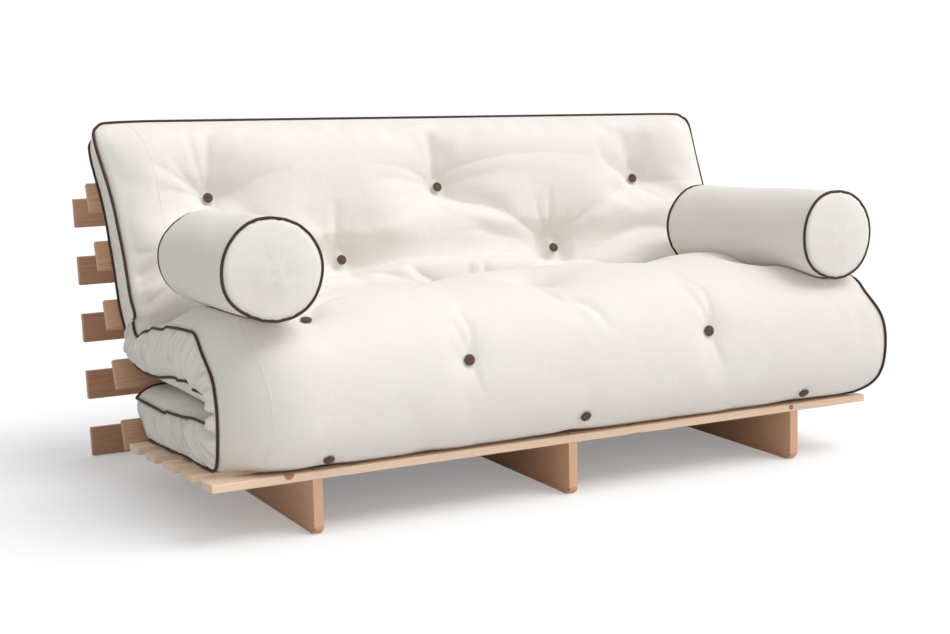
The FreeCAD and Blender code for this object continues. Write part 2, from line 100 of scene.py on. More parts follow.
def add_light(name, kind, direction, strength, **settings):
    """A light that shines along a direction."""
    data = bpy.data.lights.new(name, kind)
    data.energy = strength
    for key, value in settings.items():
        setattr(data, key, value)
    light = bpy.data.objects.new(name, data)
    light.rotation_euler = Vector(direction).to_track_quat("-Z", "Y").to_euler()
    bpy.context.scene.collection.objects.link(light)


# ---- Shader nodes ----

class Nodes:
    """Builds nodes in a tree. A link is an output socket, and anything else is a value."""

    def __init__(self, tree):
        self.tree = tree

    def put(self, node, socket, value):
        target = node.inputs[socket]
        if isinstance(value, bpy.types.NodeSocket):
            self.tree.links.new(value, target)
        else:
            if isinstance(value, tuple) and len(value) == 3 and len(target.default_value) == 4:
                value = (*value, 1)
            target.default_value = value

    def node(self, kind, inputs=(), output=0, **settings):
        made = self.tree.nodes.new(f"ShaderNode{kind}")
        for key, value in settings.items():
            setattr(made, key, value)
        for socket, value in dict(inputs).items():
            self.put(made, socket, value)
        return made.outputs[output]

    def math(self, operation, *values):
        return self.node("Math", dict(enumerate(values)), operation=operation)

    def span(self, value, low, high, to_low=0.0, to_high=1.0):
        return self.node("MapRange", {0: value, 1: low, 2: high, 3: to_low, 4: to_high})


class Paint(Nodes):
    """A material."""

    def __init__(self, name, **surface):
        self.material = bpy.data.materials.new(name)
        self.material.use_nodes = True
        super().__init__(self.material.node_tree)
        self.shader = self.tree.nodes["Principled BSDF"]
        for key, value in surface.items():
            self.set(key.replace("_", " ").title(), value)

    def set(self, socket, value):
        self.put(self.shader, socket, value)

    def mix(self, share, a, b, blend="MIX"):
        return self.node(
            "Mix", {0: share, 6: a, 7: b}, output=2, data_type="RGBA", blend_type=blend
        )

    def noise(self, vector, scale, detail=2.0, rough=0.5, output=0):
        return self.node(
            "TexNoise",
            {"Vector": vector, "Scale": scale, "Detail": detail, "Roughness": rough},
            output=output,
        )

    def scaled(self, vector, scale, place=(0, 0, 0), angle=(0, 0, 0)):
        return self.node(
            "Mapping", {"Vector": vector, "Scale": scale, "Location": place, "Rotation": angle}
        )

    def bump(self, height, distance, under=None, strength=1.0):
        inputs = {"Height": height, "Distance": distance, "Strength": strength}
        if under is not None:
            inputs["Normal"] = under
        return self.node("Bump", inputs)


# ---- Studio ----

SOFT_BOX = Vector((0.82, -0.42, 0.40)).normalized()  # towards the brighter side of the room
SHADE_GLOW, BOX_GLOW, BACKDROP_GLOW = 0.27, 0.97, 1.05


def make_studio():
    """A soft room that is white to the camera, and one sun."""
    scene = bpy.context.scene
    scene.view_settings.view_transform = "Standard"
    scene.world = bpy.data.worlds.new("studio")
    scene.world.use_nodes = True
    world = Nodes(scene.world.node_tree)
    world.tree.nodes.clear()
    facing = world.node("VectorMath", {0: world.node("TexCoord"), 1: SOFT_BOX}, output=1,
                        operation="DOT_PRODUCT")
    glow = world.span(facing, -1, 1, SHADE_GLOW, BOX_GLOW)
    ambient = world.node("Background", {"Color": (0.99, 0.995, 1.0, 1), "Strength": glow})
    backdrop = world.node("Background", {"Color": (1, 1, 1, 1), "Strength": BACKDROP_GLOW})
    mix = world.node("MixShader", {0: world.node("LightPath"), 1: ambient, 2: backdrop})
    output = world.tree.nodes.new("ShaderNodeOutputWorld")
    world.put(output, "Surface", mix)
    add_light("key", "SUN", (-0.42, 0.38, -0.84), 1.66, angle=math.radians(40))


# ---- Materials ----

THREAD_PITCH = 0.0011
WAVE_TURNS = 20  # radians of a wave texture per unit of its coordinate


def cloth_material(name, base, shade, sheen, tint, pitch=THREAD_PITCH):
    """Plain-woven cloth, its threads along the mesh's own cloth coordinates in metres."""
    paint = Paint(name, roughness=0.88, sheen_weight=sheen, sheen_roughness=0.55, sheen_tint=tint)
    paint.set("Specular IOR Level", 0.2)
    cloth = paint.node("UVMap", uv_map="cloth")
    scale = 2 * math.pi / (WAVE_TURNS * pitch)
    threads = [
        paint.node(
            "TexWave", {"Vector": cloth, "Scale": scale, "Distortion": 0.6, "Detail": 1.0},
            output=1, bands_direction=direction,
        )
        for direction in ("X", "Y")
    ]
    weave = paint.math("MULTIPLY", *threads)
    slubs = paint.math(
        "ADD",
        paint.noise(paint.scaled(cloth, (18, 900, 1)), 1.0, 2),
        paint.noise(paint.scaled(cloth, (900, 18, 1)), 1.0, 2),
    )
    broad = paint.noise(cloth, 3.5, 3)
    fade = paint.span(broad, 0.3, 0.7)
    tone = paint.mix(fade, base, shade)
    slub_tone = paint.span(slubs, 0.75, 1.3, 0.965, 1.03)
    tone = paint.mix(1.0, tone, slub_tone, "MULTIPLY")
    weave_tone = paint.span(weave, 0.0, 1.0, 0.955, 1.02)
    tone = paint.mix(1.0, tone, weave_tone, "MULTIPLY")
    paint.set("Base Color", tone)
    soft = paint.noise(cloth, 22, 3, 0.55)
    normal = paint.bump(soft, 0.0022, strength=0.55)
    normal = paint.bump(slubs, 0.00025, normal)
    normal = paint.bump(weave, 0.00025, normal)
    paint.set("Normal", normal)
    return paint.material


STRAW, RING, FIBRE = (0.80, 0.600, 0.420), (0.66, 0.430, 0.260), (0.73, 0.515, 0.34)
KNOT_HEART, KNOT_RIM = (0.30, 0.115, 0.055), (0.47, 0.21, 0.10)
RING_PITCH = 0.0048


def pine_material(name, middle, tilt, along, pith, tone, knots=()):
    """Pine sawn from a log: growth rings round a pith line, fibres along the board, and knots.

    tilt turns the board level about x, along is the grain's axis (0 or 1), and pith is the
    distance of the log's heart from the board's middle, across the grain."""
    paint = Paint(name, roughness=0.55, coat_weight=0.06, coat_roughness=0.4)
    paint.set("Specular IOR Level", 0.35)
    place = paint.node("TexCoord", output=3)
    centred = paint.node("VectorMath", {0: place, 1: tuple(middle)}, operation="SUBTRACT")
    level = paint.scaled(centred, (1, 1, 1), angle=(-tilt, 0, 0))
    stretch = [9.0, 9.0, 9.0]
    stretch[along] = 1.1
    wander = paint.noise(paint.scaled(level, tuple(stretch), place=tuple(pith) + (0,)), 1.0, 3)
    part = paint.node("SeparateXYZ", {0: level})
    axes = [part.node.outputs[k] for k in range(3) if k != along]
    reach = [paint.math("ADD", axis, offset) for axis, offset in zip(axes, pith)]
    squares = [paint.math("MULTIPLY", value, value) for value in reach]
    radius = paint.math("SQRT", paint.math("ADD", *squares))
    radius = paint.math("ADD", radius, paint.span(wander, 0.3, 0.7, -0.016, 0.016))
    knot_mask = None
    for spot, size in knots:
        offset = paint.node("VectorMath", {0: place, 1: spot}, operation="SUBTRACT")
        away = paint.node("VectorMath", {0: offset}, output=1, operation="LENGTH")
        ripple = paint.span(away, 0.0, size * 2.6, 0.010, 0.0)
        radius = paint.math("ADD", radius, ripple)
        mask = paint.span(away, size * 0.80, size, 1.0, 0.0)
        knot_mask = mask if knot_mask is None else paint.math("MAXIMUM", knot_mask, mask)
    wave = paint.math("SINE", paint.math("MULTIPLY", radius, 2 * math.pi / RING_PITCH))
    late = paint.math("POWER", paint.span(wave, -1, 1), 2.6)
    fine = [420.0, 420.0, 420.0]
    fine[along] = 7.0
    fibres = paint.noise(paint.scaled(level, tuple(fine)), 1.0, 2)
    cloudy = paint.noise(paint.scaled(level, tuple(value * 0.35 for value in stretch)), 1.0, 2)
    colour = paint.mix(paint.math("MULTIPLY", late, 0.8), STRAW, RING)
    colour = paint.mix(paint.span(fibres, 0.35, 0.7, 0.0, 0.55), colour, FIBRE)
    colour = paint.mix(paint.span(cloudy, 0.35, 0.65, 0.0, 0.35), colour, FIBRE)
    speck = (5.0, 26.0, 26.0) if along == 0 else (26.0, 5.0, 26.0)
    cells = paint.node("TexVoronoi", {"Vector": paint.scaled(level, speck), "Scale": 1.0})
    chosen = cells.node.outputs[1]
    pick = paint.math("GREATER_THAN", paint.node("SeparateColor", {0: chosen}), 0.72)
    small = paint.math("MULTIPLY", paint.span(cells, 0.13, 0.17, 1.0, 0.0), pick)
    colour = paint.mix(paint.math("MULTIPLY", small, 0.8), colour, KNOT_RIM)
    if knot_mask is not None:
        grain = paint.noise(paint.scaled(level, (120, 120, 120)), 1.0, 2)
        heart = paint.mix(grain, KNOT_RIM, KNOT_HEART)
        colour = paint.mix(knot_mask, colour, heart)
    # tone multiplies the colour: each board's own small random tone, times painted light and shade
    # for its section of the frame.
    colour = paint.mix(1.0, colour, tuple(tone), "MULTIPLY")
    paint.set("Base Color", colour)
    paint.set("Roughness", paint.span(fibres, 0.3, 0.7, 0.48, 0.62))
    normal = paint.bump(late, 0.0003, strength=0.5)
    normal = paint.bump(fibres, 0.00025, normal, 0.5)
    paint.set("Normal", normal)
    return paint.material


def steel_material(name, base, roughness):
    paint = Paint(name, metallic=1.0)
    place = paint.node("TexCoord", output=3)
    grain = paint.noise(place, 900, 3)
    stain = paint.noise(place, 60, 3)
    paint.set("Base Color", paint.mix(stain, base, tuple(c * 0.8 for c in base)))
    paint.set("Roughness", paint.span(grain, 0.3, 0.7, roughness - 0.07, roughness + 0.1)
    )
    paint.set("Normal", paint.bump(grain, 0.00006))
    return paint.material


# ---- Shapes ----

def smooth(points, at):
    """Catmull-Rom curve through points, sampled at fractional indices."""
    points = np.asarray(points, float)
    padded = np.concatenate([
        2 * points[:1] - points[1:2], points, 2 * points[-1:] - points[-2:-1]
    ])
    at = np.asarray(at, float)
    index = np.clip(np.floor(at).astype(int), 0, len(points) - 2)
    f = (at - index).reshape(-1, *[1] * (points.ndim - 1))
    a, b, c, d = (padded[index + k] for k in range(4))
    return 0.5 * (
        2 * b + (c - a) * f + (2 * a - 5 * b + 4 * c - d) * f**2 + (3 * b - a - 3 * c + d) * f**3
    )


def runs(points):
    """Distance along a line of points, at each point."""
    steps = np.linalg.norm(np.diff(points, axis=0), axis=1)
    return np.concatenate([[0], np.cumsum(steps)])


def unit(vectors):
    return vectors / np.maximum(np.linalg.norm(vectors, axis=-1, keepdims=True), 1e-9)


def ease(t):
    t = np.clip(t, 0, 1)
    return t * t * (3 - 2 * t)


def relax(line):
    """A closed line with each point drawn towards its neighbours."""
    return (line * 2 + np.roll(line, 1, 0) + np.roll(line, -1, 0)) / 4


def make_mesh(name, points, faces, cloth=None):
    """A smooth-shaded mesh; cloth is (u, v) in metres at each face corner."""
    mesh = bpy.data.meshes.new(name)
    mesh.from_pydata([tuple(p) for p in points], [], [tuple(int(i) for i in f) for f in faces])
    if cloth is not None:
        layer = mesh.uv_layers.new(name="cloth")
        layer.data.foreach_set("uv", np.asarray(cloth, np.float32).ravel())
    mesh.polygons.foreach_set("use_smooth", [True] * len(mesh.polygons))
    mesh.update()
    piece = bpy.data.objects.new(name, mesh)
    bpy.context.scene.collection.objects.link(piece)
    return piece


def grid_faces(rows, columns):
    i, j = np.meshgrid(np.arange(rows - 1), np.arange(columns - 1), indexing="ij")
    corner = i * columns + j
    faces = np.stack([corner, corner + columns, corner + columns + 1, corner + 1], -1)
    return faces.reshape(-1, 4)


def weld(grids, flips, cloths):
    """Points, faces and cloth coordinates of point grids that share their borders."""
    points = np.concatenate([grid.reshape(-1, 3) for grid in grids])
    keys = np.round(points * 1e6).astype(np.int64)
    _, first, index = np.unique(keys, axis=0, return_index=True, return_inverse=True)
    index = index.reshape(-1)
    faces, corners, start = [], [], 0
    for grid, flip, cloth in zip(grids, flips, cloths):
        local = grid_faces(*grid.shape[:2])
        if flip:
            local = local[:, ::-1]
        corners.append(cloth.reshape(-1, 2)[local])
        faces.append(index[local + start])
        start += grid.shape[0] * grid.shape[1]
    faces, corners = np.concatenate(faces), np.concatenate(corners)
    solid = np.array([len(set(face)) == 4 for face in faces.tolist()])
    return points[first], faces[solid], corners[solid].reshape(-1, 2)


def tube(name, line, radius, closed=False, sides=10):
    """A round cord along a line of points, with rounded ends where it is open."""
    line = np.asarray(line, float)
    if closed:
        along = unit(np.roll(line, -1, 0) - np.roll(line, 1, 0))
    else:
        along = unit(np.gradient(line, axis=0))
    side = unit(np.cross(along[0], (0.3, 0.5, 0.8)))
    across = []
    for tangent in along:
        side = unit(side - tangent * (side @ tangent))
        across.append(side)
    across = np.array(across)
    twist = np.zeros(len(line))
    if closed:
        last = unit(across[-1] - along[0] * (across[-1] @ along[0]))
        gap = math.atan2(np.cross(across[0], last) @ along[0], across[0] @ last)
        twist = -gap * np.linspace(0, 1, len(line), endpoint=False)
    turn = twist[:, None] + np.linspace(0, 2 * math.pi, sides, endpoint=False)
    points = line[:, None] + radius * (
        np.cos(turn)[..., None] * across[:, None]
        + np.sin(turn)[..., None] * np.cross(along, across)[:, None]
    )
    points = points.reshape(-1, 3)
    count = len(line)
    run = runs(np.vstack([line, line[:1]]))
    k = np.arange(count if closed else count - 1)[:, None]
    s = np.arange(sides)[None, :]
    steps = [(0, 0), (0, 1), (1, 1), (1, 0)]  # along and round, to a face's corners
    faces = np.stack([(k + a) % count * sides + (s + b) % sides for a, b in steps], -1)
    side_width = 2 * math.pi * radius / sides
    cloth = np.stack([
        np.stack(np.broadcast_arrays(run[k + a], (s + b) * side_width), -1) for a, b in steps
    ], -2)
    faces, cloth = faces.reshape(-1, 4).tolist(), cloth.reshape(-1, 2).tolist()
    if not closed:
        for end, outward in ((0, -1), (count - 1, 1)):
            tip = len(points)
            points = np.vstack([points, line[end] + along[end] * outward * radius * 0.8])
            for first in range(sides):
                pair = (end * sides + first, end * sides + (first + 1) % sides)
                faces.append((*pair, tip) if outward > 0 else (*pair[::-1], tip))
                cloth += [(run[end], 0), (run[end], 0.001), (run[end], 0.0005)]
    return make_mesh(name, points, faces, cloth)


def finish_piece(piece, material, slot, *nodes):
    piece.data.materials.clear()
    piece.data.materials.append(material)
    if nodes:
        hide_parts(*nodes)
    return piece


def join(name, pieces):
    """One piece made of several."""
    with bpy.context.temp_override(
        active_object=pieces[0], object=pieces[0], selected_editable_objects=pieces,
        selected_objects=pieces,
    ):
        bpy.ops.object.join()
    pieces[0].name = pieces[0].data.name = name
    return pieces[0]


# ---- The futon's side views ----

# Each row is one place along the futon, from the top of the back over the crease, the seat and the
# front fold to the rear end of the layer tucked under the seat: the outer face in the middle, its
# left and right borders, then the inner face in the middle and its left and right borders. The
# rows of BACK_STATIONS are along the back and out from it. The left borders were read off the
# photo's piping through the fitted camera and rounded.

BACK_STATIONS = [
    ((0.774, 0.108), (0.767, 0.112), (0.771, 0.110), (0.776, 0.009), (0.766, 0.010), (0.772, 0.010)),
    ((0.738, 0.148), (0.726, 0.112), (0.733, 0.110), (0.738, 0.005), (0.724, 0.008), (0.733, 0.008)),
    ((0.700, 0.166), (0.694, 0.112), (0.695, 0.110), (0.700, 0.003), (0.694, 0.004), (0.695, 0.004)),
    ((0.640, 0.172), (0.640, 0.113), (0.635, 0.110), (0.640, 0.003), (0.640, 0.004), (0.635, 0.004)),
    ((0.581, 0.170), (0.581, 0.115), (0.581, 0.112), (0.580, 0.003), (0.580, 0.004), (0.580, 0.004)),
    ((0.520, 0.172), (0.520, 0.116), (0.520, 0.114), (0.520, 0.003), (0.520, 0.004), (0.520, 0.004)),
    ((0.460, 0.172), (0.460, 0.116), (0.460, 0.114), (0.460, 0.003), (0.460, 0.004), (0.460, 0.004)),
    ((0.400, 0.160), (0.400, 0.114), (0.400, 0.114), (0.400, 0.003), (0.400, 0.004), (0.400, 0.004)),
    ((0.350, 0.185), (0.355, 0.112), (0.355, 0.112), (0.350, 0.003), (0.350, 0.004), (0.350, 0.004)),
    ((0.305, 0.190), (0.310, 0.108), (0.310, 0.108), (0.300, 0.003), (0.300, 0.004), (0.300, 0.004)),
]
STATIONS = [tuple(back(*place) for place in row) for row in BACK_STATIONS] + [
    (back(0.268, 0.172), (0.690, 0.388), back(0.275, 0.102),
     back(0.262, 0.003), back(0.262, 0.004), back(0.262, 0.004)),
    ((0.600, 0.362), (0.674, 0.352), (0.628, 0.357),
     (0.722, 0.290), (0.716, 0.288), (0.716, 0.288)),
    ((0.555, 0.388), (0.604, 0.373), (0.580, 0.378),
     (0.660, 0.264), (0.640, 0.271), (0.640, 0.274)),
    ((0.470, 0.440), (0.469, 0.394), (0.469, 0.400),
     (0.550, 0.255), (0.520, 0.278), (0.520, 0.284)),
    ((0.360, 0.478), (0.351, 0.413), (0.351, 0.420),
     (0.420, 0.252), (0.410, 0.296), (0.400, 0.296)),
    ((0.240, 0.492), (0.262, 0.421), (0.240, 0.430),
     (0.300, 0.2515), (0.330, 0.304), (0.290, 0.302)),
    ((0.120, 0.488), (0.212, 0.420), (0.120, 0.435),
     (0.200, 0.2505), (0.270, 0.307), (0.190, 0.302)),
    ((0.030, 0.455), (0.168, 0.386), (0.030, 0.428),
     (0.130, 0.2500), (0.225, 0.301), (0.115, 0.298)),
    ((-0.025, 0.400), (0.110, 0.343), (-0.020, 0.400),
     (0.085, 0.2485), (0.178, 0.299), (0.060, 0.292)),
    ((-0.048, 0.335), (0.091, 0.304), (-0.043, 0.345),
     (0.066, 0.2470), (0.140, 0.292), (0.022, 0.283)),
    ((-0.053, 0.265), (0.085, 0.262), (-0.047, 0.283),
     (0.060, 0.2450), (0.118, 0.262), (0.008, 0.262)),
    ((-0.042, 0.200), (0.090, 0.205), (-0.042, 0.211),
     (0.066, 0.2430), (0.138, 0.235), (0.018, 0.241)),
    ((-0.010, 0.158), (0.100, 0.163), (-0.022, 0.170),
     (0.085, 0.241), (0.188, 0.231), (0.058, 0.234)),
    ((0.050, 0.1385), (0.121, 0.141), (0.020, 0.1455),
     (0.150, 0.239), (0.255, 0.227), (0.130, 0.231)),
    ((0.150, 0.1325), (0.170, 0.135), (0.120, 0.1375),
     (0.250, 0.2400), (0.345, 0.216), (0.260, 0.224)),
    ((0.400, 0.1190), (0.400, 0.1225), (0.400, 0.1225),
     (0.460, 0.2400), (0.500, 0.205), (0.470, 0.215)),
    ((0.640, 0.1060), (0.620, 0.1105), (0.620, 0.1105),
     (0.690, 0.2260), (0.712, 0.196), (0.705, 0.205)),
]
LEFT_ENDS = [-0.840, -0.840, -0.834, -0.825, -0.819, -0.816, -0.813, -0.812, -0.811, -0.806,
             -0.803] + [-0.800] * 16
RIGHT_ENDS = [0.860, 0.867, 0.868, 0.868, 0.868, 0.868, 0.868, 0.868, 0.868, 0.866, 0.864, 0.860,
              0.852, 0.850, 0.850, 0.850, 0.845, 0.836, 0.830, 0.860, 0.872, 0.866, 0.845, 0.812,
              0.802, 0.800, 0.800]
TOP_TILT, TILT_STATIONS = -0.027, 3.0  # the top edge falls to the right; it fades by station 3
CORNER_RADIUS = 0.025

fine_at = np.linspace(0, len(STATIONS) - 1, 4001)
middle_face = smooth([row[0] for row in STATIONS], fine_at)
middle_run = runs(middle_face)
FUTON_RUN = middle_run[-1]


BOLSTER_GAP = 0.001
TUFT_FLAT, TUFT_CATCH = 0.012, 0.065
FOLD_DEPTH, FOLD_SUM = 1.5, 1.7  # the second says how little folds that meet add up
FOLD_CLEAR = 0.020  # folds fade out this near to a button

# Tufts: x, run along the outer face, how far the button is pulled in, and how wide the hollow is.
# The places were read off the photo through the fitted camera, then moved.

TUFTS = {
    "back": [
        (-0.583, 0.209, 0.062, 0.085), (0.045, 0.216, 0.064, 0.090), (0.647, 0.225, 0.062, 0.090),
        (-0.260, 0.3935, 0.048, 0.070), (0.357, 0.399, 0.052, 0.070),
    ],
    "seat": [
        (-0.610, 0.640, 0.025, 0.060), (0.020, 0.640, 0.025, 0.060), (0.640, 0.640, 0.025, 0.060),
        (-0.265, 0.840, 0.045, 0.075), (0.355, 0.840, 0.045, 0.075),
        (-0.588, 1.108, 0.040, 0.060), (0.015, 1.020, 0.046, 0.065), (0.640, 1.020, 0.046, 0.065),
        (-0.269, 1.312, 0.011, 0.030), (0.358, 1.308, 0.012, 0.030),
    ],
    "under": [
        (-0.596, 1.508, 0.004, 0.030), (0.023, 1.478, 0.004, 0.030), (0.646, 1.502, 0.004, 0.030),
    ],
}

# Folds in the outer face, by where they are deepest, which is the middle for "free": points
# (x, run), depth and half width. A helper script turned places picked on the photo into most of
# these points. The depths and widths were set one by one.

FOLDS = {
    "both": [
        ([(0.03, 0.248), (0.107, 0.268), (0.168, 0.291), (0.214, 0.318), (0.259, 0.353),
          (0.315, 0.412)], 0.02, 0.016),
        ([(-0.28, 0.42), (-0.169, 0.404), (-0.026, 0.411), (0.174, 0.416),
          (0.315, 0.428)], 0.027, 0.016),
    ],
    "end": [
        ([(-0.01, 0.392), (0.05, 0.372), (0.103, 0.367), (0.173, 0.38),
          (0.305, 0.416)], 0.01, 0.013),
        ([(0.294, 0.268), (0.31, 0.33), (0.33, 0.385)], 0.012, 0.008),
        ([(0.345, 0.25), (0.343, 0.32), (0.345, 0.385)], 0.012, 0.007),
        ([(0.405, 0.3), (0.385, 0.345), (0.36, 0.388)], 0.011, 0.008),
        ([(0.5, 0.29), (0.44, 0.335), (0.365, 0.39)], 0.013, 0.01),
        ([(-0.271, 0.252), (-0.274, 0.32), (-0.268, 0.38)], 0.014, 0.008),
        ([(-0.226, 0.29), (-0.246, 0.34), (-0.27, 0.4)], 0.007, 0.009),
        ([(-0.325, 0.3), (-0.312, 0.35), (-0.29, 0.4)], 0.006, 0.009),
        ([(-0.272, 1.18), (-0.253, 1.246), (-0.26, 1.31)], 0.0055, 0.006),
        ([(-0.296, 1.215), (-0.277, 1.262), (-0.273, 1.312)], 0.004, 0.006),
        ([(-0.24, 1.4), (-0.254, 1.36), (-0.263, 1.334)], 0.0045, 0.006),
        ([(0.35, 1.16), (0.374, 1.225), (0.366, 1.306)], 0.0055, 0.006),
        ([(0.326, 1.19), (0.346, 1.24), (0.352, 1.306)], 0.004, 0.006),
        ([(0.39, 1.405), (0.376, 1.362), (0.363, 1.33)], 0.0045, 0.006),
        ([(-0.545, 0.024), (-0.575, 0.09), (-0.598, 0.215)], 0.01, 0.008),
        ([(-0.622, 0.024), (-0.618, 0.1), (-0.604, 0.215)], 0.006, 0.007),
        ([(-0.68, 0.11), (-0.645, 0.16), (-0.61, 0.222)], 0.008, 0.008),
        ([(-0.735, 0.122), (-0.67, 0.16), (-0.615, 0.226)], 0.008, 0.009),
        ([(-0.735, 0.19), (-0.655, 0.199), (-0.612, 0.232)], 0.007, 0.009),
        ([(0.037, 0.04), (0.03, 0.095), (0.034, 0.15), (0.016, 0.228)], 0.013, 0.008),
    ],
    "start": [
        ([(0.335, 0.43), (0.408, 0.416), (0.473, 0.408), (0.561, 0.393), (0.64, 0.388),
          (0.73, 0.402), (0.83, 0.412)], 0.027, 0.017),
        ([(-0.29, 0.418), (-0.4, 0.4), (-0.52, 0.395), (-0.64, 0.405), (-0.79, 0.4)], 0.024, 0.018),
        ([(0.612, 0.251), (0.738, 0.247), (0.84, 0.258)], 0.012, 0.016),
        ([(0.31, 0.436), (0.26, 0.47), (0.2, 0.5), (0.13, 0.53)], 0.012, 0.014),
        ([(0.345, 0.44), (0.42, 0.462), (0.48, 0.5), (0.54, 0.53)], 0.011, 0.014),
        ([(-0.26, 0.428), (-0.18, 0.46), (-0.1, 0.505), (-0.02, 0.53)], 0.01, 0.014),
        ([(-0.3, 0.428), (-0.36, 0.47), (-0.43, 0.505), (-0.54, 0.52)], 0.01, 0.014),
        ([(-0.584, 0.226), (-0.52, 0.205), (-0.461, 0.18), (-0.38, 0.165)], 0.012, 0.015),
        ([(-0.588, 0.245), (-0.545, 0.272), (-0.48, 0.29)], 0.008, 0.012),
        ([(0.03, 0.226), (0.109, 0.209), (0.217, 0.204), (0.3, 0.21)], 0.008, 0.014),
        ([(0.026, 0.216), (0.064, 0.185), (0.169, 0.165), (0.325, 0.16),
          (0.52, 0.178)], 0.007, 0.013),
        ([(0.002, 0.232), (-0.068, 0.208), (-0.185, 0.204)], 0.007, 0.013),
        ([(0.006, 0.222), (-0.059, 0.179), (-0.2, 0.16)], 0.006, 0.013),
        ([(0.002, 0.252), (-0.07, 0.246), (-0.144, 0.274)], 0.007, 0.012),
        ([(0.594, 0.24), (0.54, 0.19), (0.52, 0.11)], 0.009, 0.012),
        ([(0.616, 0.238), (0.64, 0.17), (0.69, 0.11)], 0.009, 0.012),
        ([(0.59, 0.258), (0.53, 0.29), (0.47, 0.33)], 0.009, 0.013),
        ([(0.622, 0.262), (0.68, 0.29), (0.76, 0.31)], 0.007, 0.012),
        ([(-0.817, 0.406), (-0.794, 0.398), (-0.764, 0.386), (-0.73, 0.38)], 0.01, 0.01),
        ([(-0.823, 0.45), (-0.794, 0.429), (-0.757, 0.409), (-0.72, 0.4)], 0.011, 0.01),
        ([(-0.83, 0.5), (-0.788, 0.476), (-0.729, 0.441), (-0.67, 0.425)], 0.013, 0.011),
        ([(-0.83, 0.33), (-0.78, 0.345), (-0.73, 0.35)], 0.006, 0.01),
    ],
    "free": [
        ([(-0.123, 0.437), (-0.09, 0.475), (-0.04, 0.52)], 0.012, 0.014),
        ([(0.05, 0.462), (0.046, 0.5), (0.05, 0.535)], 0.008, 0.008),
        ([(0.09, 0.462), (0.094, 0.495), (0.086, 0.53)], 0.008, 0.008),
        ([(-0.022, 1.075), (-0.02, 1.13), (0.002, 1.18), (0.037, 1.19), (0.061, 1.215),
          (0.078, 1.245), (0.086, 1.285)], 0.006, 0.007),
        ([(0.65, 0.965), (0.603, 1.0), (0.568, 1.086)], 0.006, 0.01),
        ([(-0.62, 0.98), (-0.56, 1.01), (-0.47, 1.02)], 0.006, 0.01),
        ([(-0.6, 1.045), (-0.54, 1.06), (-0.44, 1.062)], 0.006, 0.008),
    ],
}

EDGE_REACH = (0.17, 0.12)  # how far the left and right borders draw the face in
EDGE_POWER = 0.62
INNER_REACH, INNER_INSET = 0.055, 0.012  # the back's inner face starts further in at the left
BAND_ROWS = 30
BACK_PLEAT, SEAT_PLEAT = 0.0026, 0.0190  # the seat's is on top of the back's
LEFT_BULGE, BACK_BULGE, SEAT_BULGE = 0.003, 0.009, 0.020


def puff(distance, reach):
    """0 at a border, rising steeply to 1 at its reach, as a stuffed edge does."""
    t = np.clip(distance / reach, 0, 1)
    return (1 - (1 - t) ** 2) ** EDGE_POWER


def side_points(at, column):
    return smooth([row[column] for row in STATIONS], at)


def face_grid(at, across, outer):
    """Points of the outer or inner face: a row for each station index, a column for each x."""
    first = 0 if outer else 3
    middle, left, right = (side_points(at, first + k)[:, None] for k in range(3))
    low = smooth(LEFT_ENDS, at)[:, None]
    high = smooth(RIGHT_ENDS, at)[:, None]
    x = low + (high - low) * across
    if outer:
        from_left = 1 - puff(x - low, EDGE_REACH[0])
        from_right = 1 - puff(high - x, EDGE_REACH[1])
    else:
        low = low + INNER_INSET * (1 - ease(at / 8))[:, None]
        x = low + (high - low) * across
        from_left = 1 - puff(x - low, INNER_REACH)
        from_right = 1 - puff(high - x, INNER_REACH)
    side = middle + (left - middle) * from_left[..., None] + (right - middle) * from_right[..., None]
    tilt = TOP_TILT * x * (1 - ease(at / TILT_STATIONS))[:, None]
    return np.concatenate([x[..., None], side + BACK_UP * tilt[..., None]], -1)


def round_corners(grid, up):
    """Rounds the two top corners of a face of the back: each corner square becomes a quarter disc."""
    for step in (1, -1):
        view = grid[:, ::step]
        from_side = np.abs(view[..., 0] - view[:, :1, 0])
        from_top = (view[:1, :, 1:] - view[..., 1:]) @ up
        a = np.clip(1 - from_side / CORNER_RADIUS, 0, 1)
        b = np.clip(1 - from_top / CORNER_RADIUS, 0, 1)
        b[len(b) // 4:] = 0
        reach = np.maximum(np.hypot(a, b), 1e-9)
        shrink = np.where(reach > 1e-6, np.maximum(a, b) / reach, 1)
        inward = np.sign(view[:1, -1:, 0] - view[:1, :1, 0])
        view[..., 0] += inward * a * (1 - shrink) * CORNER_RADIUS
        view[..., 1:] -= up * (b * (1 - shrink) * CORNER_RADIUS)[..., None]
    return grid


def grid_normals(grid):
    down, across = np.gradient(grid, axis=0), np.gradient(grid, axis=1)
    return unit(np.cross(down, across))


def press_tufts(grid, normals, run):
    """Pulls the face in at the buttons, which sit on a small flat."""
    depth = np.zeros(grid.shape[:2])
    for group in TUFTS.values():
        for x, at, pull, reach in group:
            away = np.maximum(np.hypot(grid[..., 0] - x, run[:, None] - at) - TUFT_FLAT, 0)
            depth += pull * np.exp(-((away / reach) ** 1.25))
    return grid - normals * depth[..., None]


